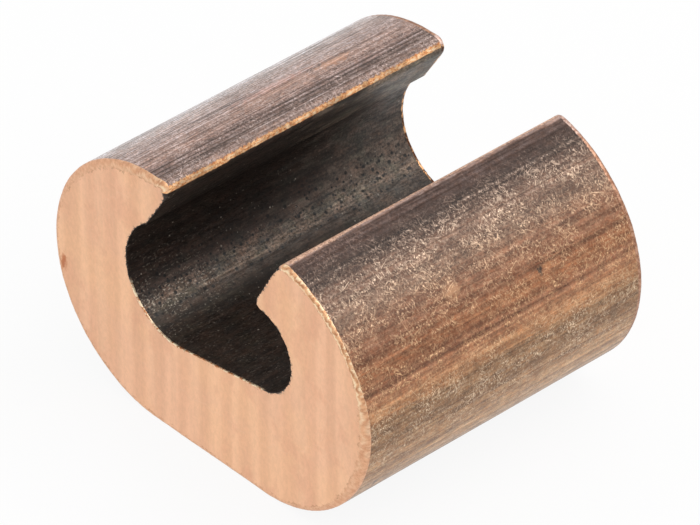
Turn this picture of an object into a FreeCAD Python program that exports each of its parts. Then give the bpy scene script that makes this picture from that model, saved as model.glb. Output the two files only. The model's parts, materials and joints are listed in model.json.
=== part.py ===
# C-tap connector: one sawn length of drawn copper C-profile that is crimped over two wires.
# The section lies in the XZ plane and runs along Y. The flat base stands on z = 0, the origin
# is at the middle of the base, and the side of the smaller seat is at +X.
import FreeCAD, Part
import math
import os

# Driving dimensions in millimetres and degrees
# Length of the sawn piece
piece_length = 16.2
# Radius of the larger seat, which takes the run wire
run_seat_radius = 3.0
# Radius of the smaller seat, which takes the tap wire
tap_seat_radius = 2.1
# Distance between the middles of the two seats, across the piece
seat_spacing = 5.4
# Metal between each seat and the rounded flank beside it
run_side_wall = 4.8
tap_side_wall = 4.7
# Metal under the run seat
run_base_wall = 4.8
# Metal under the tap seat
tap_base_wall = 5.6
# Metal over the run seat, up to the top of the profile
top_wall = 2.2
# Slope of the mouth's two walls from the horizontal
mouth_run_slope = 57.5
mouth_tap_slope = 60.3
# Step between the run seat and the mouth wall above it
mouth_step = 0.28
# Room that the mouth leaves around a wire as thick as the run seat
mouth_clearance = 0.15
# Radius of the nose between the tap seat and the mouth
nose_radius = 0.35
# Radii of the two lips, where the mouth meets the outside
run_lip_radius = 0.5
tap_lip_radius = 0.42
# Rounding of the outer edges of the sawn ends
end_rounding = 0.18

# How far the cutting shape of the channel runs past the metal
cut_margin = 2.0

# Sizes that follow from the ones above
profile_height = run_base_wall + 2.0 * run_seat_radius + top_wall
profile_width = run_side_wall + run_seat_radius + seat_spacing + tap_seat_radius + tap_side_wall
flank_radius = profile_height / 2.0
# Half of the flat stretch between the two round flanks
flat_half = profile_width / 2.0 - flank_radius
mouth_width = 2.0 * run_seat_radius + mouth_clearance


def direction(degrees):
    """Unit vector in the section, at an angle from +X towards +Z."""
    angle = math.radians(degrees)
    return FreeCAD.Vector(math.cos(angle), 0.0, math.sin(angle))


def across(degrees):
    """Unit vector square to direction(degrees), on its upper left side."""
    return direction(degrees + 90.0)


def spine_point(point):
    """Nearest point of the line between the middles of the two round flanks."""
    x = max(-flat_half, min(flat_half, point.x))
    return FreeCAD.Vector(x, 0.0, flank_radius)


def ray_to_outline(start, heading, inset):
    """Where a rising ray meets the profile's outline, moved inwards by the inset."""
    radius = flank_radius - inset
    distance = (flank_radius + radius - start.z) / heading.z
    point = start + heading * distance
    middle = spine_point(point)
    if abs(point.x - middle.x) > 0.0:
        to_middle = middle - start
        along = to_middle.dot(heading)
        off_square = to_middle.dot(to_middle) - along * along
        distance = along + math.sqrt(radius * radius - off_square)
        point = start + heading * distance
    return point


def arc_between(start, end, middle, bulge):
    """Arc about a middle point from start to end, through its side in the direction bulge."""
    radius = (start - middle).Length
    through = middle + bulge.normalize() * radius
    return Part.Arc(start, through, end).toShape()


# Middles of the two seats
run_middle = FreeCAD.Vector(run_side_wall + run_seat_radius - profile_width / 2.0, 0.0,
                            run_base_wall + run_seat_radius)
tap_middle = FreeCAD.Vector(run_middle.x + seat_spacing, 0.0, tap_base_wall + tap_seat_radius)


def make_bar():
    """Drawn bar with round flanks, and with its end edges worn round."""
    left_bottom = FreeCAD.Vector(-flat_half, 0.0, 0.0)
    right_bottom = FreeCAD.Vector(flat_half, 0.0, 0.0)
    left_top = FreeCAD.Vector(-flat_half, 0.0, profile_height)
    right_top = FreeCAD.Vector(flat_half, 0.0, profile_height)
    right_side = FreeCAD.Vector(profile_width / 2.0, 0.0, flank_radius)
    left_side = FreeCAD.Vector(-profile_width / 2.0, 0.0, flank_radius)
    outline = Part.Wire([
        Part.LineSegment(left_bottom, right_bottom).toShape(),
        Part.Arc(right_bottom, right_side, right_top).toShape(),
        Part.LineSegment(right_top, left_top).toShape(),
        Part.Arc(left_top, left_side, left_bottom).toShape(),
    ])
    face = Part.Face(outline)
    face.translate(FreeCAD.Vector(0.0, -piece_length / 2.0, 0.0))
    bar = face.extrude(FreeCAD.Vector(0.0, piece_length, 0.0))
    end_edges = []
    for edge in bar.Edges:
        box = edge.BoundBox
        if box.YLength < 0.001:
            end_edges.append(edge)
    return bar.makeFillet(end_rounding, end_edges)


def lip_points(wall_point, wall_heading, metal_side, lip_radius):
    """Tangent points of a lip on its wall and on the outside, with the lip's middle."""
    start = wall_point + metal_side * lip_radius
    middle = ray_to_outline(start, wall_heading, lip_radius)
    on_wall = middle - metal_side * lip_radius
    outwards = (middle - spine_point(middle)).normalize()
    on_outside = middle + outwards * lip_radius
    return on_wall, on_outside, middle, outwards


def make_channel():
    """Shape of the opening: two round seats, their common floor and the slanted mouth."""
    # Floor: the line that touches both seats from below
    between = tap_middle - run_middle
    tilt = math.degrees(math.atan2(between.z, between.x))
    spread = math.degrees(math.asin((run_seat_radius - tap_seat_radius) / between.Length))
    floor_down = direction(tilt - 90.0 + spread)
    floor_run = run_middle + floor_down * run_seat_radius
    floor_tap = tap_middle + floor_down * tap_seat_radius

    # Run side of the mouth: its wall crosses the top of the run seat and leaves a small step
    run_rise = direction(mouth_run_slope)
    run_side = across(mouth_run_slope)
    run_offset = run_seat_radius - mouth_step
    run_wall_foot = run_middle + run_side * run_offset
    step_rise = math.sqrt(run_seat_radius ** 2 - run_offset ** 2)
    step_corner = run_wall_foot + run_rise * step_rise
    run_lip = lip_points(run_wall_foot, run_rise, run_side, run_lip_radius)
    run_lip_wall, run_lip_outside, run_lip_middle, run_lip_out = run_lip

    # Tap side of the mouth: its wall ends below in a nose that curls over the tap seat
    tap_rise = direction(mouth_tap_slope)
    tap_side = across(mouth_tap_slope) * -1.0
    tap_wall_foot = run_middle + tap_side * (mouth_width - run_offset)
    nose_inside = (tap_wall_foot - tap_middle).dot(tap_side) + nose_radius
    nose_reach = tap_seat_radius + nose_radius
    nose_rise = math.sqrt(nose_reach ** 2 - nose_inside ** 2)
    nose_middle = tap_middle + tap_side * nose_inside + tap_rise * nose_rise
    nose_wall = nose_middle - tap_side * nose_radius
    nose_out = (nose_middle - tap_middle).normalize()
    nose_tap = tap_middle + nose_out * tap_seat_radius
    tap_lip = lip_points(tap_wall_foot, tap_rise, tap_side, tap_lip_radius)
    tap_lip_wall, tap_lip_outside, tap_lip_middle, tap_lip_out = tap_lip

    # Above the lips the cutting shape leaves the metal square to its surface
    run_top = run_lip_outside + run_lip_out * cut_margin
    tap_top = tap_lip_outside + tap_lip_out * cut_margin

    outline = Part.Wire([
        Part.LineSegment(floor_run, floor_tap).toShape(),
        arc_between(floor_tap, nose_tap, tap_middle, floor_down + nose_out + direction(0.0)),
        arc_between(nose_tap, nose_wall, nose_middle, nose_out * -1.0 - tap_side),
        Part.LineSegment(nose_wall, tap_lip_wall).toShape(),
        arc_between(tap_lip_wall, tap_lip_outside, tap_lip_middle, tap_lip_out - tap_side),
        Part.LineSegment(tap_lip_outside, tap_top).toShape(),
        Part.LineSegment(tap_top, run_top).toShape(),
        Part.LineSegment(run_top, run_lip_outside).toShape(),
        arc_between(run_lip_outside, run_lip_wall, run_lip_middle, run_lip_out - run_side),
        Part.LineSegment(run_lip_wall, step_corner).toShape(),
        arc_between(step_corner, floor_run, run_middle, direction(180.0)),
    ])
    face = Part.Face(outline)
    depth = piece_length + 2.0 * cut_margin
    face.translate(FreeCAD.Vector(0.0, -depth / 2.0, 0.0))
    return face.extrude(FreeCAD.Vector(0.0, depth, 0.0))


def make_body():
    """The finished piece."""
    return make_bar().cut(make_channel())


os.makedirs("parts", exist_ok=True)
body = make_body()
body.exportStep("parts/c_tap_body.step")
print("solids", len(body.Solids), "valid", body.isValid(), "volume", round(body.Volume, 2))
print("box", body.optimalBoundingBox())
print("seats", run_middle, tap_middle)
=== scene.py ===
# Looks of a copper C-tap connector: a sawn length of drawn C-profile, tarnished and worn.
# Lengths are in millimetres unless a name ends in _m, and angles are in degrees. The section
# lies in the XZ plane and runs along Y; the sawn end that faces the camera is at -Y.
import json
import math

import bpy
import numpy as np
from mathutils import Matrix, Vector
from mathutils.geometry import delaunay_2d_cdt


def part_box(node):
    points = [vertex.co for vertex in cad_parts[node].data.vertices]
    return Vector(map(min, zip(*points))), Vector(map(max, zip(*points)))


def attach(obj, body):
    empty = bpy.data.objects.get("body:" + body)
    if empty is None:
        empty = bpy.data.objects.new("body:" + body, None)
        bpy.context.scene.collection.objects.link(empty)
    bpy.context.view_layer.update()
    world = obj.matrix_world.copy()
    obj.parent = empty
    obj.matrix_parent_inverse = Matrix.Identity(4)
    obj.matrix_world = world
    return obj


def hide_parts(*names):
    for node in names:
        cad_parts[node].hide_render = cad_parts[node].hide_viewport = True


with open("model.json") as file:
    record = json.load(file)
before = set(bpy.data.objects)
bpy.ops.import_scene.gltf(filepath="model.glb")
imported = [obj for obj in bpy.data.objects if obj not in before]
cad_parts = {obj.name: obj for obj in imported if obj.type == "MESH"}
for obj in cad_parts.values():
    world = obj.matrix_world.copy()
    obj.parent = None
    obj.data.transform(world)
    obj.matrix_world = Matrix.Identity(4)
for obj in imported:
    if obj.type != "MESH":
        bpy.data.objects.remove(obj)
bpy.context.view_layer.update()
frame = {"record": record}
MM = 0.001

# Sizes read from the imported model
mounts = {mount["name"]: mount for mount in frame["record"]["mounts"]}
node_low, node_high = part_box("c_tap_body")
profile_width = (node_high.x - node_low.x) / MM
profile_height = node_high.z / MM
half_length = node_high.y / MM
run_middle = np.array([mounts["run_seat"]["pos_m"][0], mounts["run_seat"]["pos_m"][2]]) / MM
tap_middle = np.array([mounts["tap_seat"]["pos_m"][0], mounts["tap_seat"]["pos_m"][2]]) / MM
run_radius = mounts["run_seat"]["dims"]["r_mm"]
tap_radius = mounts["tap_seat"]["dims"]["r_mm"]
flank_radius = profile_height / 2.0
flat_half = profile_width / 2.0 - flank_radius
perimeter = 4.0 * flat_half + 2.0 * math.pi * flank_radius

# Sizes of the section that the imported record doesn't give
mouth_run_slope = 57.5
mouth_tap_slope = 60.3
mouth_step = 0.28
mouth_width = 2.0 * run_radius + 0.15
nose_radius = 0.35
run_lip_radius = 0.5
tap_lip_radius = 0.42


def unit(degrees):
    """Unit vector in the section, at an angle from +X towards +Z."""
    return np.array([math.cos(math.radians(degrees)), math.sin(math.radians(degrees))])


def angle_of(vector):
    """Angle of a vector in the section."""
    return math.degrees(math.atan2(vector[1], vector[0]))


def spine_point(point):
    """Nearest point of the line between the middles of the two round flanks."""
    return np.array([max(-flat_half, min(flat_half, point[0])), flank_radius])


def ray_to_outline(start, heading, inset):
    """Where a rising ray meets the outline of the section, moved inwards by the inset."""
    radius = flank_radius - inset
    point = start + heading * (flank_radius + radius - start[1]) / heading[1]
    to_middle = spine_point(point) - start
    if abs(point[0]) > flat_half:
        along = to_middle @ heading
        point = start + heading * (along + math.sqrt(radius ** 2 - to_middle @ to_middle + along ** 2))
    return point


def line(kind, start, end):
    """Straight stretch of the outline."""
    return {"kind": kind, "start": np.array(start), "end": np.array(end)}


def arc(kind, middle, radius, first, last):
    """Round stretch: anticlockwise where the metal bulges, clockwise where it is hollow."""
    return {"kind": kind, "middle": middle, "radius": radius, "first": first, "last": last}


def section_stretches():
    """The outline of the section, anticlockwise from the run side lip over the outside."""
    between = tap_middle - run_middle
    spread = math.degrees(math.asin((run_radius - tap_radius) / np.linalg.norm(between)))
    floor_down = angle_of(between) - 90.0 + spread

    run_rise = unit(mouth_run_slope)
    run_side = unit(mouth_run_slope + 90.0)
    run_offset = run_radius - mouth_step
    run_foot = run_middle + run_side * run_offset
    step_corner = run_foot + run_rise * math.sqrt(run_radius ** 2 - run_offset ** 2)
    run_lip = ray_to_outline(run_foot + run_side * run_lip_radius, run_rise, run_lip_radius)
    run_lip_out = angle_of(run_lip - spine_point(run_lip))

    tap_rise = unit(mouth_tap_slope)
    tap_side = unit(mouth_tap_slope - 90.0)
    tap_foot = run_middle + tap_side * (mouth_width - run_offset)
    nose_inside = (tap_foot - tap_middle) @ tap_side + nose_radius
    nose_rise = math.sqrt((tap_radius + nose_radius) ** 2 - nose_inside ** 2)
    nose = tap_middle + tap_side * nose_inside + tap_rise * nose_rise
    nose_out = angle_of(nose - tap_middle)
    tap_lip = ray_to_outline(tap_foot + tap_side * tap_lip_radius, tap_rise, tap_lip_radius)
    tap_lip_out = angle_of(tap_lip - spine_point(tap_lip))

    run_lip_top = run_lip + unit(run_lip_out) * run_lip_radius
    step_angle = angle_of(step_corner - run_middle)
    left = np.array([-flat_half, flank_radius])
    right = np.array([flat_half, flank_radius])
    return [
        line("skin", run_lip_top, (-flat_half, profile_height)),
        arc("skin", left, flank_radius, 90.0, 270.0),
        line("skin", (-flat_half, 0.0), (flat_half, 0.0)),
        arc("skin", right, flank_radius, -90.0, tap_lip_out),
        arc("tap_lip", tap_lip, tap_lip_radius, tap_lip_out, mouth_tap_slope + 90.0),
        line("channel", tap_lip - tap_side * tap_lip_radius, nose - tap_side * nose_radius),
        arc("channel", nose, nose_radius, mouth_tap_slope + 90.0, nose_out + 180.0),
        arc("channel", tap_middle, tap_radius, nose_out, floor_down),
        line("channel", tap_middle + unit(floor_down) * tap_radius,
             run_middle + unit(floor_down) * run_radius),
        arc("channel", run_middle, run_radius, floor_down, step_angle - 360.0),
        line("channel", step_corner, run_lip - run_side * run_lip_radius),
        arc("run_lip", run_lip, run_lip_radius, mouth_run_slope - 90.0, run_lip_out),
    ]


# Distance between the points of the outline
point_spacing = {"skin": 0.064, "channel": 0.052, "run_lip": 0.04, "tap_lip": 0.04}


def stretch_length(stretch):
    """Length of one stretch."""
    if "start" in stretch:
        return np.linalg.norm(stretch["end"] - stretch["start"])
    return stretch["radius"] * abs(math.radians(stretch["last"] - stretch["first"]))


def stretch_points(stretch):
    """Points and outward normals of one stretch, without its last point."""
    count = max(3, round(stretch_length(stretch) / point_spacing[stretch["kind"]]))
    part = np.arange(count)[:, None] / count
    if "start" in stretch:
        run = stretch["end"] - stretch["start"]
        normal = np.array([run[1], -run[0]]) / np.linalg.norm(run)
        return stretch["start"] + part * run, np.repeat(normal[None], count, 0)
    angle = np.radians(stretch["first"] + part * (stretch["last"] - stretch["first"]))
    radial = np.concatenate([np.cos(angle), np.sin(angle)], 1)
    outward = radial if stretch["last"] > stretch["first"] else -radial
    return stretch["middle"] + stretch["radius"] * radial, outward


# Distance around at which each stretch starts, counted from the middle of the top; the loop
# closes at the run side lip
stretches = section_stretches()
stretch_lengths = [stretch_length(stretch) for stretch in stretches]
stretch_starts = abs(stretches[0]["start"][0]) + np.concatenate([[0.0], np.cumsum(stretch_lengths)])
loop_length = sum(stretch_lengths)
tap_lip_start = stretch_starts[4]
floor_start = stretch_starts[8]
run_seat_start = stretch_starts[9]
run_lip_start = stretch_starts[11]


def sample_section():
    """The whole outline as arrays: points, normals, distance around and the stretches' kinds."""
    points, normals, around, kinds = [], [], [], []
    for stretch, start, length in zip(stretches, stretch_starts, stretch_lengths):
        place, normal = stretch_points(stretch)
        points.append(place)
        normals.append(normal)
        around.append(start + length * np.arange(len(place)) / len(place))
        kinds += [stretch["kind"]] * len(place)
    return np.concatenate(points), np.concatenate(normals), np.concatenate(around), np.array(kinds)


outline, outline_normals, outline_around, outline_kinds = sample_section()
point_count = len(outline)
in_channel = outline_kinds == "channel"


def steps(place, spacing, shift):
    """Number of the step that each place lies in, and the eased share of the way to the next."""
    at = place / spacing + shift
    low = np.floor(at).astype(int)
    part = at - low
    return low, part * part * (3.0 - 2.0 * part)


def wander(place, spacing, seed):
    """Smooth random line between -1 and 1, with a new value at each spacing."""
    values = np.random.default_rng(seed).uniform(-1.0, 1.0, 4096)
    low, share = steps(place, spacing, 1024.0)
    return values[low % 4096] * (1.0 - share) + values[(low + 1) % 4096] * share


def wander_over(x, y, x_spacing, y_spacing, seed):
    """Smooth random surface between -1 and 1."""
    values = np.random.default_rng(seed).uniform(-1.0, 1.0, (257, 257))
    column, x_share = steps(x, x_spacing, 100.0)
    row, y_share = steps(y, y_spacing, 100.0)
    sides = []
    for side in (row % 257, (row + 1) % 257):
        left, right = values[column % 257, side], values[(column + 1) % 257, side]
        sides.append(left * (1.0 - x_share) + right * x_share)
    return sides[0] * (1.0 - y_share) + sides[1] * y_share


def ring_mean(values, count):
    """Running mean of values round the closed outline."""
    padded = np.concatenate([values[-count:], values, values[:count]])
    return np.convolve(padded, np.ones(2 * count + 1) / (2 * count + 1), "valid")


# The worn rim of each sawn end: distance around, width on the face and depth along the skin
front_rim = [
    (3.0, 0.34, 0.12), (6.0, 0.4, 0.13), (9.5, 0.38, 0.15), (13.5, 0.2, 0.16), (17.0, 0.18, 0.15),
    (24.0, 0.16, 0.12), (31.0, 0.2, 0.12), (36.0, 0.32, 0.16), (38.5, 0.4, 0.24), (41.5, 0.38, 0.24),
    (43.5, 0.22, 0.16), (45.5, 0.14, 0.14), (48.0, 0.14, 0.16), (49.4, 0.16, 0.18), (50.1, 0.2, 0.2),
]
back_rim = [
    (3.0, 0.18, 0.18), (12.0, 0.18, 0.16), (30.0, 0.18, 0.16), (44.0, 0.2, 0.2), (50.1, 0.14, 0.14),
]
channel_rim = (0.04, 0.035)
rim_steps = 6
# The sawn faces lie a little back, so that the burr on their rims stays inside the box
face_recess = 0.03
burr_width = 0.07


def rim_sizes(stops):
    """Width and depth of the rim at each point of the outline."""
    places, widths, depths = (np.array(column) for column in zip(*stops))
    width = np.where(in_channel, channel_rim[0], np.interp(outline_around, places, widths))
    depth = np.where(in_channel, channel_rim[1], np.interp(outline_around, places, depths))
    uneven = 1.0 + 0.12 * wander(outline_around, 1.3, 21)
    return ring_mean(width, 5) * uneven, ring_mean(depth, 5) * uneven


def edge_shift(seed):
    """Ragged saw edge: how far it stands out of the surface (above 0) or back from it."""
    spiky = wander(outline_around, 0.11, seed) * (0.6 + 0.4 * wander(outline_around, 0.7, seed + 1))
    return np.where(in_channel, 0.05 * spiky * np.abs(spiky), -0.012 * np.abs(spiky))


def skin_depth(around, along):
    """How far the surface lies under the true outline: slow waves, draw lines and small nicks."""
    waves = 0.005 * (1.0 + wander_over(around, along, 2.3, 5.0, 11))
    lines = 0.004 * np.clip(wander(around, 0.14, 12) - 0.1, 0.0, 1.0)
    deep = 0.014 * np.clip(wander(around, 0.2, 13) - 0.7, 0.0, 1.0) / 0.3
    fade = 0.55 + 0.45 * wander_over(around, along, 0.3, 4.0, 14)
    nicks = 0.016 * np.clip(wander_over(around, along, 0.3, 0.45, 15) - 0.72, 0.0, 1.0) / 0.28
    return waves + (lines + deep) * fade + nicks


def row_shares():
    """Places of the rows along the piece, from 0 to 1, closer near the ends."""
    near = np.array([0.0, 0.05, 0.11, 0.2, 0.36, 0.62]) / (2.0 * half_length)
    middle = np.linspace(near[-1], 1.0 - near[-1], 37)[1:-1]
    return np.concatenate([near, middle, 1.0 - near[::-1]])


# How far bare copper reaches over the skin from each rim
bare_reach = {"front": 0.08, "back": 0.16}
edge_fade = 0.12


def wall_rows(front, back):
    """Rows of the drawn surface: places, distance along and how near each point is to a rim."""
    first = -half_length + face_recess + front["depth"]
    last = half_length - face_recess - back["depth"]
    along = first + row_shares()[:, None] * (last - first)
    around = np.repeat(outline_around[None], len(along), 0)
    front_gap, back_gap = along - first, last - along
    shift = front["shift"] * np.clip(1.0 - front_gap / edge_fade, 0.0, 1.0)
    shift = shift + back["shift"] * np.clip(1.0 - back_gap / edge_fade, 0.0, 1.0)
    lower = (skin_depth(around, along) - shift)[:, :, None]
    place = outline - outline_normals * lower
    near_front = np.clip(1.0 - front_gap / bare_reach["front"], 0.0, 1.0)
    near_back = np.clip(1.0 - back_gap / bare_reach["back"], 0.0, 1.0)
    return place, along, np.maximum(near_front, near_back)


def rim_rows(place, along, rim, side):
    """Rows from the drawn surface over the rim to the sawn face."""
    places, distances, shares = [], [], []
    burr = face_recess * (0.2 + 0.8 * np.clip(wander(outline_around, 0.21, rim["seed"]), 0.0, 1.0))
    for step in range(1, rim_steps + 1):
        turn = math.radians(90.0 * step / rim_steps)
        inset = rim["width"] * (1.0 - math.cos(turn))
        rise = rim["depth"] * math.sin(turn)
        ridge = burr * np.exp(-(inset / burr_width) ** 2)
        places.append(place - outline_normals * inset[:, None])
        distances.append(along + side * (rise + ridge * math.sin(turn)))
        shares.append(np.full(point_count, 2.0 - math.cos(turn)))
    return places, distances, shares


def inside(points, ring):
    """Which points lie inside a closed ring."""
    x, z = points[:, 0], points[:, 1]
    result = np.zeros(len(points), bool)
    for a, b in zip(ring, np.roll(ring, -1, 0)):
        if a[1] != b[1]:
            crosses = (a[1] > z) != (b[1] > z)
            result ^= crosses & (x < a[0] + (z - a[1]) * (b[0] - a[0]) / (b[1] - a[1]))
    return result


def jittered_grid(x_step, z_step, seed):
    """Grid over the section's box, each point moved a little at random."""
    xs = np.arange(-profile_width / 2.0, profile_width / 2.0, x_step)
    zs = np.arange(0.0, profile_height, z_step)
    grid = np.stack(np.meshgrid(xs, zs), -1).reshape(-1, 2)
    jitter = np.random.default_rng(seed).uniform(-0.25, 0.25, grid.shape)
    return grid + jitter * (x_step, z_step)


def distance_to(points, ring):
    """Distance from each point to the nearest point of the ring, and that point's number."""
    gaps = np.concatenate([np.linalg.norm(part[:, None] - ring[None], axis=2).argmin(1)
                           for part in np.array_split(points, 40)])
    return np.linalg.norm(points - ring[gaps], axis=1), gaps


# Spacing of the points on the sawn faces: fine in a band beside the rims, coarse further in
edge_grid = (0.13, 0.13)
inner_grid = (0.16, 0.4)
edge_band = 0.5
edge_clearance = 0.07


def face_triangles(ring):
    """Points inside a sawn face and its triangles, which number the ring's points first."""
    fine = jittered_grid(*edge_grid, 31)
    coarse = jittered_grid(*inner_grid, 32)
    fine_gap = distance_to(fine, ring)[0]
    fine = fine[(fine_gap > edge_clearance) & (fine_gap < edge_band)]
    coarse = coarse[distance_to(coarse, ring)[0] >= edge_band]
    grid = np.concatenate([fine, coarse])
    grid = grid[inside(grid, ring)]
    places = [Vector(point) for point in np.concatenate([ring, grid])]
    edges = [(i, (i + 1) % point_count) for i in range(point_count)]
    made = delaunay_2d_cdt(places, edges, [], 0, 1e-7, True)
    source = [numbers[0] for numbers in made[3]]
    triangles = np.array([[source[i] for i in face] for face in made[2]])
    middles = np.concatenate([ring, grid])[triangles].mean(1)
    return grid, triangles[inside(middles, ring)]


def face_relief(x, z):
    """Saw marks: how far the sawn face lies under its highest level."""
    slanted = x + 0.06 * z + 0.15 * wander(z, 2.6, 41)
    return 0.003 * (1.0 + wander(slanted, 0.33, 42)) + 0.002 * (1.0 + wander_over(x, z, 1.4, 2.2, 43))


# Bare copper on the lips: the arc of normal directions that each strip covers, from the wall side
lip_strips = {"run_lip": (13.0, 41.0), "tap_lip": (137.0, 98.0)}


def strip_share(kind):
    """Place across a lip's strip: 0 at its wall side, 1 at its skin side, and on to both sides."""
    number = [stretch["kind"] for stretch in stretches].index(kind)
    lip = stretches[number]
    wall_side, skin_side = lip_strips[kind]
    towards = 1.0 if skin_side > wall_side else -1.0
    turn = math.radians((wall_side + skin_side) / 2.0 - lip["first"])
    middle = stretch_starts[number] + lip["radius"] * turn
    width = lip["radius"] * math.radians(abs(skin_side - wall_side))
    gap = (outline_around - middle + loop_length / 2.0) % loop_length - loop_length / 2.0
    return 0.5 + towards * gap / width


def lip_places():
    """Place across the nearer lip's strip for every point of the outline."""
    run, tap = strip_share("run_lip"), strip_share("tap_lip")
    return np.clip(np.where(np.abs(run - 0.5) < np.abs(tap - 0.5), run, tap), -3.0, 4.0)


def make_mesh():
    """The closed surface of the piece, in millimetres, with the values that its finish needs."""
    front = {"seed": 51, "shift": edge_shift(61)}
    back = {"seed": 52, "shift": edge_shift(71)}
    front["width"], front["depth"] = rim_sizes(front_rim)
    back["width"], back["depth"] = rim_sizes(back_rim)
    wall, along, near = wall_rows(front, back)
    rows = zip(rim_rows(wall[0], along[0], front, -1.0), (wall, along, near),
               rim_rows(wall[-1], along[-1], back, 1.0))
    places, distances, rims = (np.array(before[::-1] + list(middle) + after)
                               for before, middle, after in rows)
    row_count = len(places)
    wall_vertices = np.stack([places[:, :, 0], distances, places[:, :, 1]], 2).reshape(-1, 3)
    around = np.tile(outline_around, row_count)
    lips = np.tile(lip_places(), row_count)
    dark = np.tile((in_channel | (lip_places() < 0.3)).astype(float), row_count)
    vertices = [wall_vertices]
    unrolled = [np.stack([around, wall_vertices[:, 1], np.zeros(len(around))], 1)]
    zones = [np.stack([rims.ravel(), lips, dark], 1)]

    ring = np.arange(point_count)
    following = np.roll(ring, -1)
    low = np.arange(row_count - 1)[:, None] * point_count
    high = low + point_count
    quads = np.stack([low + ring, high + ring, high + following, low + following], 2)
    triangles = []
    total = row_count * point_count
    for row, side, rim in ((0, -1.0, front), (row_count - 1, 1.0, back)):
        grid, made = face_triangles(places[row])
        level = side * (half_length - face_recess - face_relief(grid[:, 0], grid[:, 1]))
        gap, nearest = distance_to(grid, outline)
        inner = 2.0 + np.clip((gap - rim["width"][nearest]) / 0.6, 0.0, 1.0)
        vertices.append(np.stack([grid[:, 0], level, grid[:, 1]], 1))
        unrolled.append(np.stack([outline_around[nearest], level, gap], 1))
        zones.append(np.stack([inner, lip_places()[nearest], np.zeros(len(grid))], 1))
        numbers = np.concatenate([row * point_count + ring, total + np.arange(len(grid))])
        order = (0, 1, 2) if side < 0.0 else (0, 2, 1)
        triangles.append(numbers[made][:, order])
        total += len(grid)
    triangles = np.concatenate(triangles)
    unrolled, zones = np.concatenate(unrolled), np.concatenate(zones)
    wall_unrolled = unrolled[quads]
    wall_unrolled[:, -1, 2:, 0] += loop_length
    quads = quads.reshape(-1, 4)
    values = {
        "unrolled": np.concatenate([wall_unrolled.reshape(-1, 3), unrolled[triangles].reshape(-1, 3)]),
        "zones": zones[np.concatenate([quads.ravel(), triangles.ravel()])],
    }
    return np.concatenate(vertices), quads, triangles, values


def build_object(vertices, quads, triangles, values):
    """Blender object from vertices in millimetres, faces and the values at their corners."""
    mesh = bpy.data.meshes.new("c_tap_connector")
    mesh.vertices.add(len(vertices))
    mesh.vertices.foreach_set("co", (vertices * MM).ravel())
    corners = np.concatenate([quads.ravel(), triangles.ravel()])
    sizes = np.concatenate([np.full(len(quads), 4), np.full(len(triangles), 3)])
    starts = np.concatenate([[0], np.cumsum(sizes)[:-1]])
    mesh.loops.add(len(corners))
    mesh.loops.foreach_set("vertex_index", corners.astype(np.int32))
    mesh.polygons.add(len(sizes))
    mesh.polygons.foreach_set("loop_start", starts.astype(np.int32))
    mesh.update(calc_edges=True)
    mesh.polygons.foreach_set("use_smooth", np.ones(len(sizes), bool))
    for name, value in values.items():
        mesh.attributes.new(name, "FLOAT_VECTOR", "CORNER").data.foreach_set("vector", value.ravel())
    piece = bpy.data.objects.new("c_tap_connector", mesh)
    bpy.context.collection.objects.link(piece)
    return piece


def tone(red, green, blue):
    """Screen colour, 0 to 255, as a linear colour."""
    linear = []
    for value in (red, green, blue):
        share = value / 255.0
        linear.append(share / 12.92 if share <= 0.04045 else ((share + 0.055) / 1.055) ** 2.4)
    return (*linear, 1.0)


def grey(value):
    """Number as a colour for a ramp."""
    return (value, value, value, 1.0)


# The range that a noise seldom leaves
noise_low, noise_high = 0.36, 0.64


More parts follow.
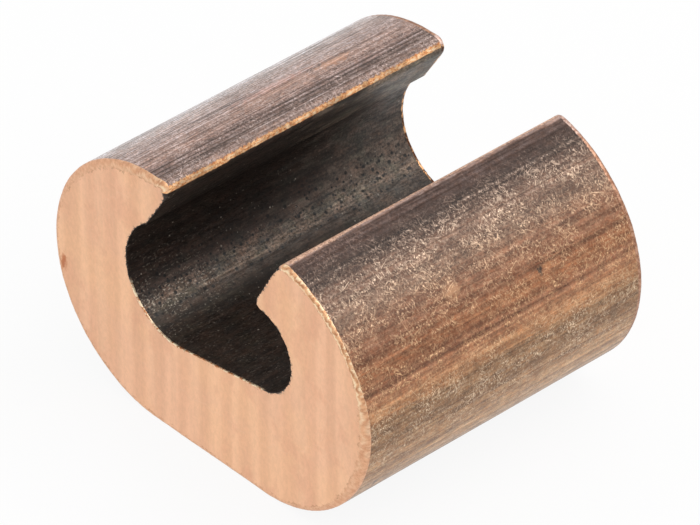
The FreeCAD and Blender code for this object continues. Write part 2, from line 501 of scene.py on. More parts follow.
class Finish:
    """Node tree of a material or a world, with short calls for the nodes that it is made of."""

    def __init__(self, owner):
        owner.use_nodes = True
        self.tree = owner.node_tree
        self.tree.nodes.clear()

    def make(self, kind, inputs=None, **settings):
        """Outputs of a new node, whose inputs are linked or set."""
        made = self.tree.nodes.new("ShaderNode" + kind)
        for name, value in settings.items():
            setattr(made, name, value)
        for key, value in (inputs or {}).items():
            if isinstance(value, bpy.types.NodeSocket):
                self.tree.links.new(value, made.inputs[key])
            else:
                made.inputs[key].default_value = value
        return made.outputs

    def attribute(self, name):
        return self.make("Attribute", attribute_name=name)["Vector"]

    def parts(self, vector):
        return self.make("SeparateXYZ", {0: vector})

    def vector(self, operation, first, second):
        """Vector operation. The last of three numbers may be left out and is then 0."""
        if isinstance(second, tuple):
            second = (*second, 0.0)[:3]
        return self.make("VectorMath", {0: first, 1: second}, operation=operation)[0]

    def scaled(self, vector, scale):
        return self.vector("MULTIPLY", vector, scale)

    def moved(self, vector, offset):
        return self.vector("ADD", vector, offset)

    def length(self, vector):
        return self.make("VectorMath", {0: vector}, operation="LENGTH")["Value"]

    def turned(self, vector, angle):
        sockets = {"Vector": vector, "Angle": angle}
        return self.make("VectorRotate", sockets, rotation_type="Z_AXIS")[0]

    def noise(self, vector, scale, detail=2.0, roughness=0.5):
        """Noise with its own scale along each axis, flat where only two are given."""
        sockets = {"Vector": self.scaled(vector, scale), "Scale": 1.0, "Detail": detail,
                   "Roughness": roughness}
        kind = f"{len(scale)}D"
        return self.make("TexNoise", sockets, noise_dimensions=kind)["Fac"]

    def bent(self, vector, spacing, reach):
        """Vector moved about by a smooth noise, so that straight marks come out curved."""
        sockets = {"Vector": vector, "Scale": 1.0 / spacing, "Detail": 0.0}
        colour = self.make("TexNoise", sockets)["Color"]
        offset = self.vector("SUBTRACT", colour, (0.5, 0.5, 0.5))
        return self.moved(vector, self.scaled(offset, (2.0 * reach,) * 3))

    def math(self, operation, *values, clamp=False):
        sockets = dict(enumerate(values))
        return self.make("Math", sockets, operation=operation, use_clamp=clamp)[0]

    def chain(self, operation, values):
        """One operation over several values, one after the other."""
        result = values[0]
        for value in values[1:]:
            result = self.math(operation, result, value)
        return result

    def plus(self, *values):
        return self.chain("ADD", values)

    def times(self, *values):
        return self.chain("MULTIPLY", values)

    def most(self, *values):
        return self.chain("MAXIMUM", values)

    def minus(self, first, second):
        return self.math("SUBTRACT", first, second)

    def without(self, value):
        return self.math("SUBTRACT", 1.0, value, clamp=True)

    def gap(self, value, middle):
        return self.math("ABSOLUTE", self.minus(value, middle))

    def peak(self, value, middle, half):
        """1 where the value is at the middle, falling to 0 at half on both sides."""
        return self.without(self.math("DIVIDE", self.gap(value, middle), half))

    def span(self, value, low, high, to_low=0.0, to_high=1.0):
        """Smooth step from to_low to to_high while the value goes from low to high."""
        sockets = dict(enumerate((value, low, high, to_low, to_high)))
        return self.make("MapRange", sockets, interpolation_type="SMOOTHSTEP")[0]

    def vary(self, noise, low, high):
        """A noise as a value from low to high."""
        return self.span(noise, noise_low, noise_high, low, high)

    def level(self, *changes):
        """Gain of several changes together, each of which is 0 where it changes nothing."""
        return self.times(*(self.plus(change, 1.0) for change in changes))

    def mix(self, share, first, second):
        return self.make("Mix", {0: share, 2: first, 3: second}, data_type="FLOAT")[0]

    def blend(self, share, first, second):
        return self.make("Mix", {0: share, 6: first, 7: second}, data_type="RGBA")[2]

    def gain(self, colour, value):
        sockets = {0: colour, "Scale": value}
        return self.make("VectorMath", sockets, operation="SCALE")[0]

    def shaded(self, colour, value):
        """Colour with a gain that leaves shadows warm and lights pale."""
        red, blue = self.math("POWER", value, 0.85), self.math("POWER", value, 1.12)
        gains = self.make("CombineXYZ", {0: red, 1: value, 2: blue})[0]
        return self.vector("MULTIPLY", colour, gains)

    def tinted(self, share, colour, tint):
        """Colour that a share of a tint changes in hue."""
        return self.blend(share, colour, self.scaled(colour, tint))

    def ramp(self, distance, stops):
        """Tone or number by distance, from stops in rising order."""
        low, high = stops[0][0], stops[-1][0]
        made = self.tree.nodes.new("ShaderNodeValToRGB")
        share = self.math("DIVIDE", self.minus(distance, low), high - low)
        self.tree.links.new(share, made.inputs[0])
        elements = made.color_ramp.elements
        while len(elements) < len(stops):
            elements.new(0.5)
        for element, (place, *value) in zip(elements, stops):
            element.position = (place - low) / (high - low)
            element.color = tone(*value) if len(value) == 3 else grey(*value)
        return made.outputs[0]


def random_cells(f, vector, size, offset):
    """Random cells: the place among them, what the cell gives and its random numbers."""
    place = f.moved(f.scaled(vector, (1.0 / size, 1.0 / size)), offset)
    sockets = {"Vector": place, "Scale": 1.0}
    cell = f.make("TexVoronoi", sockets, voronoi_dimensions="2D")
    return place, cell, f.make("SeparateColor", {0: cell["Color"]})


def strokes(f, vector, size, width, length, power, seed):
    """Short strokes, one in each random cell, mostly across; a high power leaves few strong."""
    place, cell, chance = random_cells(f, vector, size, (seed, seed * 1.7))
    angle = f.plus(f.times(chance[0], 2.5), 0.35)
    across, run, _ = f.parts(f.turned(f.vector("SUBTRACT", place, cell["Position"]), angle))
    thin = f.span(f.math("ABSOLUTE", across), width / size, 0.2 * width / size)
    short = f.span(f.math("ABSOLUTE", run), length / size, 0.4 * length / size)
    return f.times(thin, short, f.math("POWER", chance[1], power))


def fibres(f, vector, angle, fine, long):
    """Brushed grain: long thin patches of noise at an angle to the piece."""
    return f.span(f.noise(f.turned(vector, angle), (fine, long), 2.0, 0.6), 0.54, 0.72)


def hairs(f, vector, scale, fine, seed):
    """Long thin curved scratches."""
    value = f.noise(f.moved(vector, (seed, seed * 0.7)), (scale, scale), 1.0, 0.4)
    return f.span(f.gap(value, 0.5), fine, 0.2 * fine)


def specks(f, vector, size, radius, share, seed):
    """Small specks in a share of random cells."""
    _, cell, chance = random_cells(f, vector, size, (seed, seed * 0.6))
    reach = f.span(chance[1], 0.0, 1.0, 0.5 * radius / size, radius / size)
    dot = f.without(f.math("DIVIDE", cell["Distance"], reach))
    return f.times(f.span(dot, 0.0, 0.6), f.math("LESS_THAN", chance[0], share))


def oval(f, vector, middle, scale, ragged):
    """Share of a soft oval mark, whose edge a ragged value moves in and out."""
    off = f.scaled(f.moved(vector, tuple(-place for place in middle)), scale)
    return f.span(f.plus(f.length(off), ragged), 1.2, 0.4)


# Tones of the drawn skin by distance from the middle of the top, towards the tap side; a stop
# of a tone is a distance with red, green and blue
tap_side_tones = [
    (4.7, 180, 146, 129), (4.88, 162, 132, 120), (5.04, 92, 72, 65), (5.5, 72, 54, 47),
    (6.15, 54, 39, 31), (6.45, 69, 49, 39), (7.2, 102, 75, 60), (8.4, 100, 73, 56), (8.8, 116, 79, 57),
    (9.9, 133, 89, 65), (10.8, 148, 96, 63), (11.6, 134, 88, 62), (12.1, 166, 115, 81),
    (12.6, 163, 115, 77), (12.95, 164, 116, 77), (13.15, 138, 101, 68), (14.3, 135, 99, 67),
    (15.3, 158, 118, 82), (16.2, 176, 134, 94), (17.6, 172, 134, 98),
]
# The same towards the run side. The pale last stop, where the round flank turns away at the silhouette,
# is a painted reflection of the white surroundings
run_side_tones = [
    (2.2, 112, 87, 76), (2.9, 117, 94, 84), (3.3, 104, 84, 76), (3.8, 119, 94, 85), (4.2, 154, 123, 110),
    (4.9, 150, 122, 111), (5.4, 156, 132, 124), (6.5, 152, 128, 118), (8.6, 202, 190, 188),
]
# The same from the run side on round the base, which the photograph doesn't show
base_tones = [
    (8.6, 170, 156, 150), (12.0, 132, 110, 98), (16.0, 146, 112, 90), (19.0, 118, 98, 82),
    (23.0, 140, 114, 94), (28.0, 124, 102, 86), (34.0, 142, 116, 96), (38.0, 156, 124, 98),
]
# Dark and pale draw lines: distance from the middle of the top, half width and gain
tap_lines_above = [
    (5.02, 0.07, -0.6), (5.18, 0.06, -0.5), (5.32, 0.05, 0.35), (5.45, 0.06, -0.45), (6.06, 0.07, -0.62),
    (6.18, 0.05, 0.5), (6.34, 0.06, -0.5), (6.68, 0.05, -0.4), (7.18, 0.06, -0.62), (7.34, 0.07, 0.3),
]
tap_lines_below = [
    (7.66, 0.06, -0.3), (9.0, 0.09, 0.32), (9.62, 0.09, -0.3), (10.24, 0.12, -0.4), (10.5, 0.12, 0.58),
    (11.42, 0.12, 0.4), (11.6, 0.14, -0.5), (11.82, 0.1, 0.36), (12.48, 0.16, 0.24), (13.3, 0.16, -0.28),
]
run_lines = [
    (3.05, 0.07, 0.6), (3.24, 0.07, -0.85), (3.46, 0.06, -0.8), (3.58, 0.05, 0.9), (3.7, 0.07, -0.85),
    (4.48, 0.07, -0.55), (4.62, 0.06, 0.4), (4.86, 0.08, -0.55), (5.04, 0.07, 0.5), (6.02, 0.09, -0.4),
]
# How dense the pale strokes are, by distance from the middle of the top towards the tap side
stroke_density = [
    (4.6, 0.25), (5.9, 0.25), (6.2, 0.5), (6.9, 0.68), (7.4, 0.76), (8.5, 0.72), (9.2, 0.7), (12.6, 0.7),
    (13.2, 0.9), (14.8, 0.85), (15.6, 0.55), (18.5, 0.4),
]
# Tones of those strokes
stroke_tones = [
    (5.0, 200, 166, 152), (7.0, 224, 196, 170), (9.0, 226, 186, 148), (12.0, 232, 184, 134),
    (13.4, 228, 200, 168), (18.0, 214, 186, 158),
]
# How strong the finest draw lines are there
line_strength = [
    (5.0, 0.2), (7.0, 0.45), (9.0, 0.5), (12.0, 0.5), (13.0, 0.45), (16.0, 0.8), (18.5, 0.8),
]
# Single marks: distance around, distance along, half sizes, tone and strength
single_marks = [
    (5.15, 0.3, 0.25, 2.2, tone(206, 152, 136), 0.4),
    (4.66, 3.4, 0.35, 1.1, tone(206, 146, 104), 0.5),
    (4.75, 0.2, 0.3, 2.6, tone(194, 144, 118), 0.35),
    (perimeter - 10.45, 2.65, 0.22, 0.16, tone(56, 42, 36), 0.95),
    (perimeter - 10.35, 3.15, 0.14, 0.3, tone(196, 136, 92), 0.6),
    (perimeter - 17.3, -6.7, 0.25, 0.16, tone(84, 62, 54), 0.8),
    (perimeter - 9.4, -1.9, 0.3, 0.5, tone(206, 158, 116), 0.4),
]
# Tones of the run seat by distance from the floor: near the front end and near the back end. The paler
# stops from about 1.6 to 3.6 are a painted highlight, the seat's reflection of the bright surroundings
# through the mouth
seat_front_tones = [
    (0.4, 47, 34, 26), (1.2, 50, 38, 29), (1.6, 62, 49, 40), (1.95, 72, 59, 49), (2.15, 73, 60, 50),
    (2.5, 88, 73, 61), (2.8, 81, 65, 54), (3.2, 59, 45, 38), (3.9, 49, 35, 28), (4.35, 40, 28, 22),
    (5.0, 35, 24, 18), (6.6, 42, 31, 25), (9.6, 50, 38, 31),
]
seat_back_tones = [
    (0.4, 48, 37, 29), (1.6, 70, 58, 49), (2.1, 75, 65, 56), (2.7, 99, 83, 70), (3.2, 95, 80, 69),
    (3.6, 89, 75, 65), (4.2, 80, 67, 58), (5.2, 70, 60, 53), (6.4, 72, 61, 54), (7.4, 94, 80, 69),
    (8.2, 108, 94, 80), (9.6, 110, 96, 82),
]
# Draw lines of the run seat: distance from the floor, half width and gain. The pale lines at 2.32 and
# 2.62 lie in the highlight band and are painted highlight streaks as well as draw lines
seat_lines = [
    (2.07, 0.09, -0.25), (2.32, 0.08, 0.6), (2.62, 0.1, 0.6), (3.2, 0.1, -0.3), (3.33, 0.06, 0.25),
    (3.91, 0.07, -0.35), (4.02, 0.05, 0.2), (4.33, 0.08, -0.35), (5.35, 0.12, 0.2),
]
# How dense the pale flecks and the dark pits of the run seat are. The flecks thicken in the highlight
# band, from about 2.1 to 3.0, where they are painted glints
fleck_and_glint_density = [(0.0, 0.15), (1.6, 0.25), (2.1, 0.9), (3.0, 0.9), (3.4, 0.35), (5.0, 0.12), (9.0, 0.12)]
pit_density = [(1.4, 0.2), (2.0, 0.9), (3.6, 1.0), (4.2, 0.4), (5.0, 0.0)]


def single_mark(f, flat, colour, mark):
    """Colour with one soft, ragged mark laid over it."""
    around, along, half_around, half_along, mark_tone, strength = mark
    ragged = f.span(f.noise(flat, (5.0, 2.5), 3.0, 0.7), 0.3, 0.7, -0.4, 0.4)
    share = oval(f, flat, (around, along), (1.0 / half_around, 1.0 / half_along), ragged)
    return f.blend(f.times(share, strength), colour, mark_tone)


def skin_bands(f, from_run, from_tap):
    """Bands of tone: along the run side, along the tap side and round the base between them."""
    run_side = f.ramp(from_run, run_side_tones)
    colour = f.blend(f.span(from_run, 8.4, 9.4), run_side, f.ramp(from_run, base_tones))
    return f.blend(f.span(from_tap, 18.4, 17.4), colour, f.ramp(from_tap, tap_side_tones))


def draw_lines(f, distance, lines, fade):
    """Gain of one table of draw lines, which fade in and out along the piece."""
    edges = sorted({round(place + side * half, 3) for place, half, _ in lines for side in (-1, 0, 1)})
    stops = []
    for edge in edges:
        levels = [gain * max(0.0, 1.0 - abs(edge - place) / half) for place, half, gain in lines]
        stops.append((edge, 0.5 + 0.5 * sum(levels)))
    level = f.minus(f.times(f.ramp(distance, stops), 2.0), 1.0)
    return f.level(f.times(level, fade))


def skin_marks(f, flat, density):
    """Strength of the pale strokes, hairs and dots that tumbling left."""
    curved = f.bent(flat, 0.45, 0.06)
    small = strokes(f, curved, 0.19, 0.03, 0.09, 1.6, 3.0)
    middling = strokes(f, curved, 0.3, 0.03, 0.2, 2.0, 7.0)
    large = strokes(f, curved, 0.55, 0.028, 0.45, 2.4, 12.0)
    dots = f.times(specks(f, flat, 0.2, 0.06, 0.4, 5.0), 0.9)
    loops = f.times(hairs(f, flat, 2.2, 0.026, 4.0), 0.4)
    brushed = f.most(fibres(f, flat, 0.9, 13.0, 4.5), fibres(f, flat, 2.1, 12.0, 4.0))
    marks = f.most(small, middling, large, dots, loops)
    marks = f.math("ADD", marks, f.times(brushed, 0.4), clamp=True)
    patch = f.vary(f.noise(flat, (0.9, 0.6), 4.0, 0.65), 0.3, 1.25)
    return f.math("MULTIPLY", f.times(marks, density), patch, clamp=True)


def skin_level(f, flat, from_run, from_tap, near_tap, run_side):
    """Light and dark of the skin: streaks along the piece, mottling, grain and small pits."""
    on_top = f.mix(f.span(from_run, 7.6, 9.6), f.span(from_run, 3.5, 7.6, 1.6, 3.4), 1.1)
    strength = f.mix(run_side, f.ramp(near_tap, line_strength), on_top)
    broad = f.vary(f.noise(flat, (3.2, 0.11), 2.0, 0.6), -0.24, 0.24)
    fine = f.vary(f.noise(flat, (11.0, 0.14), 3.0, 0.75), -0.3, 0.34)
    streaks = f.plus(f.times(broad, f.mix(run_side, 1.0, 0.5)), f.times(fine, strength))
    mottle = f.vary(f.noise(flat, (2.0, 1.3), 4.0, 0.75), -0.26, 0.27)
    grain = f.span(f.noise(flat, (8.0, 7.0), 2.0, 0.7), 0.36, 0.66, -0.1, 0.17)
    scratched = f.times(f.span(from_tap, 6.0, 6.4), f.span(from_tap, 9.4, 8.6))
    pits = f.span(f.noise(f.moved(flat, (2.0, 7.0)), (11.0, 8.0), 1.0, 0.6), 0.46, 0.34)
    mottle = f.times(mottle, f.mix(run_side, 1.0, 0.9))
    grain = f.times(grain, f.mix(run_side, 1.0, 2.8))
    return f.level(streaks, mottle, grain, f.times(pits, f.mix(scratched, -0.2, -0.45)))


def skin_tones(f, flat, from_run, from_tap):
    """Colour of the tarnished skin: bands, light and dark, single marks, strokes and draw lines."""
    swayed = f.span(f.noise(flat, (1.6, 0.3), 4.0, 0.7), 0.3, 0.7, -0.1, 0.1)
    near_run, near_tap = f.plus(from_run, swayed), f.plus(from_tap, swayed)
    run_side = f.span(from_run, 14.0, 9.0)
    colour = skin_bands(f, near_run, near_tap)
    colour = f.shaded(colour, skin_level(f, flat, from_run, from_tap, near_tap, run_side))
    hue = f.noise(f.moved(flat, (6.0, 2.0)), (6.0, 2.2), 3.0, 0.7)
    colour = f.tinted(f.span(hue, 0.5, 0.62), colour, (1.07, 0.97, 0.88))
    colour = f.tinted(f.span(hue, 0.48, 0.38), colour, (0.95, 1.01, 1.05))
    for mark in single_marks:
        colour = single_mark(f, flat, colour, mark)
    on_tap = f.span(from_tap, 19.0, 18.0)
    elsewhere = f.mix(run_side, 0.4, f.span(from_run, 7.5, 5.5, 0.45, 0.65))
    density = f.mix(on_tap, elsewhere, f.ramp(near_tap, stroke_density))
    mark_tone = f.blend(on_tap, tone(216, 190, 180), f.ramp(near_tap, stroke_tones))
    mark_tone = f.gain(mark_tone, f.span(hue, 0.4, 0.6, 1.15, 0.75))
    colour = f.blend(skin_marks(f, flat, density), colour, mark_tone)
    fade = f.span(f.noise(f.moved(flat, (9.0, 4.0)), (2.5, 0.5), 3.0, 0.7), 0.36, 0.56, 0.5, 1.0)
    tables = [(from_run, run_lines), (from_tap, tap_lines_above), (from_tap, tap_lines_below)]
    for distance, lines in tables:
        colour = f.shaded(colour, draw_lines(f, distance, lines, fade))
    return colour


def seat_level(f, flat, along, swayed):
    """Light and dark of the channel: streaks along the piece, clouds and grain."""
    deep = f.span(along, 2.0, 6.0)
    broad = f.vary(f.noise(flat, (3.0, 0.14), 3.0, 0.7), -0.28, 0.3)
    cloud = f.vary(f.noise(flat, (1.6, 1.0), 4.0, 0.75), -0.3, 0.32)
    grain = f.vary(f.noise(flat, (8.0, 7.0), 2.0, 0.7), -0.42, 0.48)
    # The painted highlight band low in the seat, where the grain is made stronger
    in_highlight_band = f.times(f.span(swayed, 1.8, 2.3), f.span(swayed, 3.6, 3.0))
    strength = f.mix(f.most(in_highlight_band, f.span(along, 1.0, 6.0, 0.0, 0.7)), 0.3, 1.0)
    broad = f.times(broad, f.mix(deep, 1.0, 0.5))
    cloud = f.times(cloud, f.mix(deep, 1.0, 1.25))
    return f.level(broad, cloud, f.times(grain, strength))


def channel_tones(f, flat, around, along):
    """Colour of the oxidised channel: near black, with a painted highlight band low in the run seat,
    with flecks and pits.
    """
    seat = f.minus(around, run_seat_start)
    sway = f.noise(flat, (1.2, 0.3), 3.0, 0.6)
    swayed = f.plus(seat, f.span(sway, 0.3, 0.7, -0.16, 0.16))
    past = f.span(f.plus(along, f.span(sway, 0.3, 0.7, -2.5, 2.5)), 0.0, 6.0)
    colour = f.blend(past, f.ramp(swayed, seat_front_tones), f.ramp(swayed, seat_back_tones))
    colour = f.gain(colour, seat_level(f, flat, along, swayed))
    hue = f.noise(f.moved(flat, (7.0, 3.0)), (1.3, 0.9), 4.0, 0.7)
    colour = f.tinted(f.span(hue, 0.52, 0.64), colour, (0.9, 1.03, 1.01))
    colour = f.tinted(f.span(hue, 0.48, 0.36), colour, (1.08, 0.97, 0.92))
    # Pale flecks; where they are dense, in the highlight band, they are painted glints
    flecks = f.span(f.noise(flat, (11.0, 6.5), 2.0, 0.6), 0.56, 0.68)
    patch = f.span(f.noise(flat, (2.2, 1.0), 3.0, 0.6), 0.4, 0.58, 0.15, 1.0)
    near_front = f.span(along, -7.5, -2.0, 0.85, 0.12)
    share = f.times(flecks, f.ramp(swayed, fleck_and_glint_density), patch, near_front)
    colour = f.blend(share, colour, tone(192, 178, 160))
    colour = f.gain(colour, draw_lines(f, seat, seat_lines, f.span(along, -4.0, 4.0, 1.0, 0.45)))
    pits = f.most(specks(f, flat, 0.46, 0.13, 0.6, 4.0), specks(f, flat, 0.3, 0.09, 0.4, 9.0))
    colour = f.blend(f.times(pits, f.ramp(swayed, pit_density)), colour, tone(16, 12, 10))
    dots = f.times(specks(f, flat, 0.3, 0.05, 0.2, 21.0), 0.4)
    dots = f.most(specks(f, flat, 0.6, 0.06, 0.3, 15.0), dots)
    return f.blend(f.times(dots, f.span(sway, 0.4, 0.6, 0.15, 0.7)), colour, tone(176, 164, 150))


# Worn spot at the left edge of the front face: place and half sizes, across and up
spot_place = (-9.42, 0.0, 5.28)
spot_half_sizes = (0.18, 0.6)
# Distance between the bands that the saw left, which are painted as the light and dark reflected by its
# ripples
saw_band_pitch = 1.4


def sawn_tones(f, place):
    """Colour of the bare sawn copper: upright bands of painted reflection from the saw's ripples, clouds
    and grain, and one worn spot in front.
    """
    x, y, _ = f.parts(place)
    sway = f.span(f.noise(place, (0.4, 0.0, 0.06), 2.0, 0.5), 0.3, 0.7, -0.3, 0.3)
    # Upright bands: painted reflection, the light and dark that the saw's ripples would reflect
    turn = f.times(f.plus(x, sway, -0.3), 2.0 * math.pi / saw_band_pitch)
    band = f.span(f.math("COSINE", turn), -1.0, 1.0)
    clouds = f.noise(place, (0.28, 0.28, 0.22), 3.0)
    band = f.mix(f.span(clouds, 0.4, 0.6, 0.45, 1.0), 0.5, band)
    colour = f.blend(band, tone(234, 182, 147), tone(249, 200, 164))
    colour = f.gain(colour, f.vary(f.noise(place, (1.8, 0.0, 0.05), 2.0, 0.6), 0.97, 1.03))
    colour = f.blend(f.span(clouds, 0.4, 0.62, 0.0, 0.5), colour, tone(250, 200, 156))
    pink = f.noise(f.moved(place, (4.0, 0.0, 9.0)), (0.7, 0.7, 0.5), 4.0, 0.65)
    colour = f.blend(f.span(pink, 0.5, 0.66, 0.0, 0.5), colour, tone(232, 176, 142))
    ragged = f.span(f.noise(place, (4.0, 4.0, 2.0), 3.0, 0.7), 0.3, 0.7, -0.5, 0.5)
    spot = oval(f, place, spot_place, (1.0 / spot_half_sizes[0], 0.0, 1.0 / spot_half_sizes[1]), ragged)
    spot = f.times(spot, 0.85, f.span(y, 1.0, -1.0))
    colour = f.blend(spot, colour, tone(192, 112, 66))
    return f.gain(colour, f.vary(f.noise(place, (7.0, 7.0, 4.0), 3.0, 0.7), 0.965, 1.035))


# How rough the front rim is by distance around: 0 is nearly as smooth as the face
rim_wear = [
    (2.6, 0.9), (3.4, 0.45), (5.0, 0.3), (7.0, 0.15), (12.0, 0.12), (30.0, 0.15), (39.0, 0.15),
    (41.5, 0.35), (44.0, 1.0), (51.0, 1.0),
]


def front_rim_tones(f, edge, rim, mottle, fine, wear):
    """Colour of the front rim: smooth orange, or rough with a broken bright line on either side, which
    is a painted highlight.
    """
    smooth = f.blend(f.vary(mottle, 0.0, 1.0), tone(219, 164, 128), tone(237, 185, 149))
    outside = f.span(f.plus(rim, f.times(f.minus(mottle, 0.5), 2.0)), 1.2, 0.5)
    smooth = f.blend(f.times(outside, 0.6), smooth, tone(190, 142, 118))
    rough = f.blend(f.span(fine, 0.38, 0.62), tone(190, 134, 96), tone(234, 182, 138))
    shifted = f.plus(rim, f.vary(f.noise(edge, (1.4, 0.0, 0.01), 4.0, 0.7), -0.45, 0.35))
    broken = f.span(f.noise(f.moved(edge, (8.0, 5.0)), (2.2, 0.3), 3.0, 0.7), 0.38, 0.54)
    # The broken bright lines are painted highlights where the rough rim catches the light
    inner = f.times(f.peak(shifted, 1.8, 0.45), f.span(broken, 0.0, 1.0, 0.65, 1.2))
    outer = f.times(f.peak(shifted, 0.7, 0.4), broken)
    rough = f.blend(f.span(shifted, 0.75, 0.5, 0.0, 0.8), rough, tone(150, 92, 58))
    rough = f.blend(f.most(inner, outer), rough, tone(255, 230, 192))
    return f.blend(wear, smooth, rough)


def back_rim_tones(f, mottle, fine, around, dark):
    """Colour of the back rim: dull, pinkish at the lips, glinting along the channel."""
    dull = f.blend(f.span(mottle, 0.4, 0.62), tone(150, 106, 82), tone(198, 154, 128))
    pinkish = f.blend(f.span(mottle, 0.4, 0.62), tone(176, 136, 120), tone(226, 196, 182))
    dull = f.blend(f.span(f.minus(perimeter, around), 6.8, 5.4), dull, pinkish)
    glinting = f.blend(f.span(fine, 0.46, 0.62), tone(84, 52, 36), tone(224, 172, 124))
    return f.blend(dark, dull, glinting)


def rim_tones(f, place, around, along, rim, dark, from_run):
    """Colour of the worn rims, with a bright burr where the channel meets the front face, whose pale
    specks are painted glints.
    """
    edge = f.make("CombineXYZ", {0: around, 1: rim, 2: along})[0]
    mottle = f.noise(place, (6.0, 6.0, 6.0), 3.0, 0.7)
    fine = f.noise(edge, (2.2, 0.9), 3.0, 0.7)
    front = front_rim_tones(f, edge, rim, mottle, fine, f.ramp(from_run, rim_wear))
    back = back_rim_tones(f, mottle, fine, around, dark)
    colour = f.blend(f.span(along, -1.0, 1.0), front, back)
    # Painted glints along the burr
    glints = f.noise(f.moved(place, (2.0, 0.0, 6.0)), (4.5, 4.5, 4.5), 3.0, 0.75)
    burr = f.blend(f.span(glints, 0.4, 0.6), tone(186, 122, 80), tone(255, 234, 200))
    return f.blend(f.times(dark, f.span(along, 1.0, -1.0)), colour, burr)


def lip_tones(f, flat, lip, tap_lip):
    """Colour of the worn lips: gold flecks on the run side, pinkish ones on the tap side. The run side
    strip is bare copper made brighter as a painted highlight, with painted glints along its middle.
    """
    flecks = f.noise(flat, (8.5, 6.0), 3.0, 0.8)
    # Bare gold copper, its tones raised in part as a painted highlight
    colour = f.blend(f.vary(flecks, 0.0, 1.0), tone(208, 128, 74), tone(255, 202, 146))
    # Cream painted glints along the middle of the run lip's strip
    bright = f.span(f.noise(f.moved(flat, (5.0, 2.0)), (7.0, 2.6), 3.0, 0.7), 0.48, 0.6)
    colour = f.blend(f.times(bright, f.peak(lip, 0.4, 0.55)), colour, tone(255, 224, 184))
    stretch = f.span(f.noise(flat, (0.3, 0.9), 3.0, 0.7), 0.38, 0.62, 0.7, 1.12)
    colour = f.gain(colour, f.times(stretch, f.span(lip, 0.5, 1.1, 1.0, 0.74)))
    pinkish = f.blend(f.span(flecks, 0.36, 0.62), tone(176, 132, 108), tone(240, 198, 170))
    return f.blend(tap_lip, colour, pinkish)


def bare_lips(f, flat, along, lip, tap_lip, ragged):
    """Share of bare copper on the lips, with ragged edges and patchy on the tap side."""
    step = f.span(along, -4.6, -4.4, -0.2, 0.0)
    lower = f.minus(f.plus(lip, f.times(ragged, 0.5)), step)
    reach = f.times(tap_lip, f.span(along, -7.5, 0.0, -0.3, 0.2))
    upper = f.plus(lip, f.times(ragged, 1.6), reach)
    patchy = f.span(f.noise(flat, (0.5, 2.5), 3.0, 0.7), 0.36, 0.5, 0.55, 1.0)
    return f.times(f.span(lower, -0.05, 0.1), f.span(upper, 1.15, 0.9), f.mix(tap_lip, 1.0, patchy))


def dark_teeth(f, around, along, rim, dark, ragged):
    """Where the channel's dark skin keeps its hold on the front rim, in teeth, beside the burr."""
    burr = f.times(f.span(around, floor_start - 0.2, floor_start + 0.2),
                     f.span(around, run_seat_start + 4.2, run_seat_start + 3.6))
    burr = f.most(burr, f.span(along, -1.0, 1.0))
    return f.times(dark, f.without(burr), f.span(f.plus(rim, f.times(ragged, 3.0)), 2.1, 1.9))


def gloss(f, flat, from_tap, dark, bare, worn_lip):
    """Roughness, metal and coat of bare copper, of the skin and of the channel."""
    rough_skin = f.span(f.noise(flat, (4.0, 1.0), 4.0), 0.2, 0.8, 0.38, 0.52)
    rough_hollow = f.vary(f.noise(flat, (9.0, 1.5), 3.0, 0.7), 0.42, 0.64)
    rough = f.mix(bare, f.mix(dark, rough_skin, rough_hollow), 0.42)
    metal = f.mix(dark, f.span(from_tap, 16.0, 12.0, 0.35, 0.7), 0.3)
    metal = f.mix(bare, metal, f.mix(worn_lip, 0.9, 0.6))
    coat = f.times(f.span(from_tap, 15.0, 12.0, 0.15, 0.8), f.span(from_tap, 5.0, 8.0, 0.45, 1.0))
    coat = f.mix(f.span(from_tap, 40.0, 30.0), 0.35, coat)
    return rough, metal, f.times(f.without(bare), f.mix(dark, coat, 0.03))


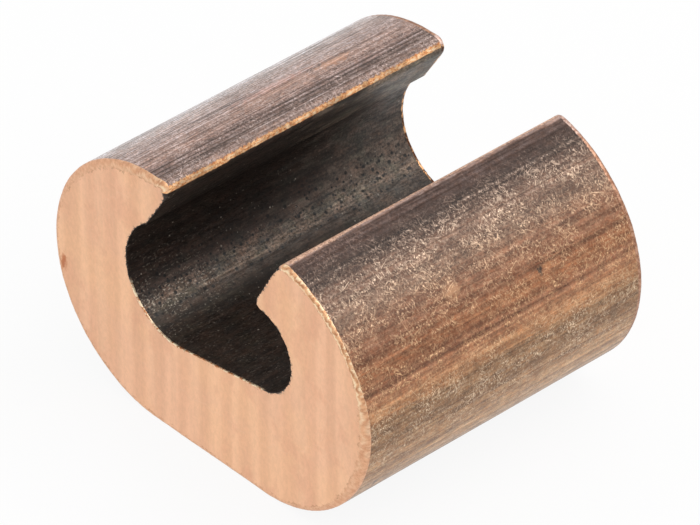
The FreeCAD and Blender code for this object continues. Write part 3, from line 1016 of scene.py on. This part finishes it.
def weathered_copper():
    """Finish of the whole piece: sawn faces, worn rims and lips, drawn skin and channel, with some
    painted highlights, glints, reflection and shade.
    """
    material = bpy.data.materials.new("weathered_copper")
    f = Finish(material)
    # The surface laid out flat: distance around, distance along and, on a sawn face, from its edge
    flat = f.attribute("unrolled")
    around, along, _ = f.parts(flat)
    rim, lip, dark = f.parts(f.attribute("zones"))
    place = f.scaled(f.make("TexCoord")["Object"], (1000.0,) * 3)
    past_channel = f.math("GREATER_THAN", around, run_lip_start - 0.5)
    from_run = f.minus(around, f.times(past_channel, loop_length))
    from_tap = f.minus(perimeter, from_run)
    ragged = f.minus(f.noise(place, (6.0, 6.0, 6.0), 4.0, 0.75), 0.5)

    skin = skin_tones(f, flat, from_run, from_tap)
    colour = f.blend(dark, skin, channel_tones(f, flat, around, along))
    tap_lip = f.math("LESS_THAN", f.gap(around, tap_lip_start), 4.0)
    worn_lip = bare_lips(f, flat, along, lip, tap_lip, ragged)
    colour = f.blend(worn_lip, colour, lip_tones(f, flat, lip, tap_lip))

    tarnished = f.times(f.span(from_run, 7.0, 9.0), f.span(from_run, 30.0, 28.0), 0.4)
    worn_rim = f.span(f.minus(f.plus(rim, ragged), tarnished), 0.42, 0.58)
    elsewhere = f.without(dark_teeth(f, around, along, rim, dark, ragged))
    rim_colour = rim_tones(f, place, around, along, rim, dark, from_run)
    colour = f.blend(f.times(worn_rim, elsewhere), colour, rim_colour)
    on_face = f.plus(rim, f.times(ragged, 1.1))
    colour = f.blend(f.times(f.span(on_face, 1.86, 2.02), elsewhere), colour, sawn_tones(f, place))
    # Painted shade: a dark broken line where the sawn face breaks into the rim, in place of the shade of
    # a sharp edge
    broken = f.span(f.noise(place, (2.4, 2.4, 2.4), 3.0, 0.7), 0.46, 0.62)
    painted_edge_shade = f.times(f.peak(on_face, 2.02, 0.1), broken, 0.6, f.without(dark))
    colour = f.blend(painted_edge_shade, colour, tone(150, 100, 68))

    bare = f.times(f.most(worn_lip, worn_rim), elsewhere)
    rough, metal, coat = gloss(f, flat, from_tap, dark, bare, worn_lip)
    lines = f.times(f.noise(flat, (14.0, 0.3), 3.0, 0.6), 0.6, f.without(bare))
    grain = f.times(f.noise(place, (14.0, 14.0, 14.0), 2.0, 0.6), 0.35)
    sockets = {"Strength": 0.5, "Distance": 0.00001, "Height": f.plus(lines, grain)}
    bump = f.make("Bump", sockets)[0]
    sockets = {"Base Color": colour, "Metallic": metal, "Roughness": rough, "Normal": bump,
               "Coat Weight": coat, "Coat Roughness": 0.22, "Coat IOR": 1.3}
    f.make("OutputMaterial", {"Surface": f.make("BsdfPrincipled", sockets)[0]})
    return material


def make_connector():
    """The dressed piece, in place of the plain solid."""
    piece = build_object(*make_mesh())
    piece.data.materials.append(weathered_copper())
    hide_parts("c_tap_body")
    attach(piece, "root")


# Camera: direction, distance and the pixel at which a known point of the piece lies
view_azimuth = 47.61
view_elevation = 36.92
view_distance_m = 0.3125
focal_pixels = 7209.5
image_width, image_height = 700, 525
known_point = Vector((-profile_width / 2.0, -half_length, 6.6)) * MM
known_pixel = (53.99, 230.35)


def make_camera():
    """Camera that sees the piece as the photograph does."""
    a, e = math.radians(view_azimuth), math.radians(view_elevation)
    right = Vector((math.cos(a), math.sin(a), 0.0))
    up = Vector((-math.sin(a) * math.sin(e), math.cos(a) * math.sin(e), math.cos(e)))
    back = right.cross(up)
    across = (known_pixel[0] - image_width / 2.0) / focal_pixels * view_distance_m
    down = (known_pixel[1] - image_height / 2.0) / focal_pixels * view_distance_m
    data = bpy.data.cameras.new("camera")
    data.sensor_width = 36.0
    data.lens = focal_pixels * data.sensor_width / image_width
    camera = bpy.data.objects.new("camera", data)
    bpy.context.collection.objects.link(camera)
    place = known_point - right * across + up * down + back * view_distance_m
    turn = Matrix((right, up, back)).transposed().to_4x4()
    camera.matrix_world = Matrix.Translation(place) @ turn
    bpy.context.scene.camera = camera


white = (1.0, 1.0, 1.0, 1.0)


def make_floor():
    """Pale floor that the camera sees as white and that keeps a soft shadow."""
    reach_m = 1.5
    corners = [(x * reach_m, y * reach_m, 0.0) for x, y in ((-1, -1), (1, -1), (1, 1), (-1, 1))]
    mesh = bpy.data.meshes.new("floor")
    mesh.from_pydata(corners, [], [(0, 1, 2, 3)])
    floor = bpy.data.objects.new("floor", mesh)
    bpy.context.collection.objects.link(floor)
    material = bpy.data.materials.new("floor")
    f = Finish(material)
    paint = f.make("BsdfDiffuse", {"Color": (0.85, 0.85, 0.85, 1.0)})[0]
    shown = f.make("Emission", {"Color": white, "Strength": 1.0})[0]
    path = f.make("LightPath")
    seen = f.math("ADD", path["Is Camera Ray"], path["Is Glossy Ray"], clamp=True)
    both = f.make("MixShader", {0: f.times(seen, 0.9), 1: paint, 2: shown})[0]
    f.make("OutputMaterial", {"Surface": both})
    mesh.materials.append(material)


def make_world():
    """White surroundings, a little weaker as light than as the camera sees them."""
    world = bpy.data.worlds.new("studio")
    f = Finish(world)
    light = f.make("Background", {"Color": white, "Strength": 0.92})[0]
    backdrop = f.make("Background", {"Color": white, "Strength": 1.0})[0]
    seen = f.make("LightPath")["Is Camera Ray"]
    both = f.make("MixShader", {0: seen, 1: light, 2: backdrop})[0]
    f.make("OutputWorld", {"Surface": both})
    bpy.context.scene.world = world


def make_softbox(name, direction, distance_m, size_m, power):
    """Square soft light that shines at the piece from a direction."""
    data = bpy.data.lights.new(name, "AREA")
    data.shape = "SQUARE"
    data.size = size_m
    data.energy = power
    lamp = bpy.data.objects.new(name, data)
    bpy.context.collection.objects.link(lamp)
    target = Vector((0.0, 0.0, profile_height / 2.0 * MM))
    towards = Vector(direction).normalized()
    lamp.location = target + towards * distance_m
    lamp.rotation_euler = towards.to_track_quat("Z", "Y").to_euler()


make_camera()
make_world()
make_floor()
make_softbox("key", direction=(0.37, 0.54, 0.76), distance_m=0.6, size_m=0.5, power=1.2)
make_connector()
bpy.context.scene.view_settings.view_transform = "Standard"
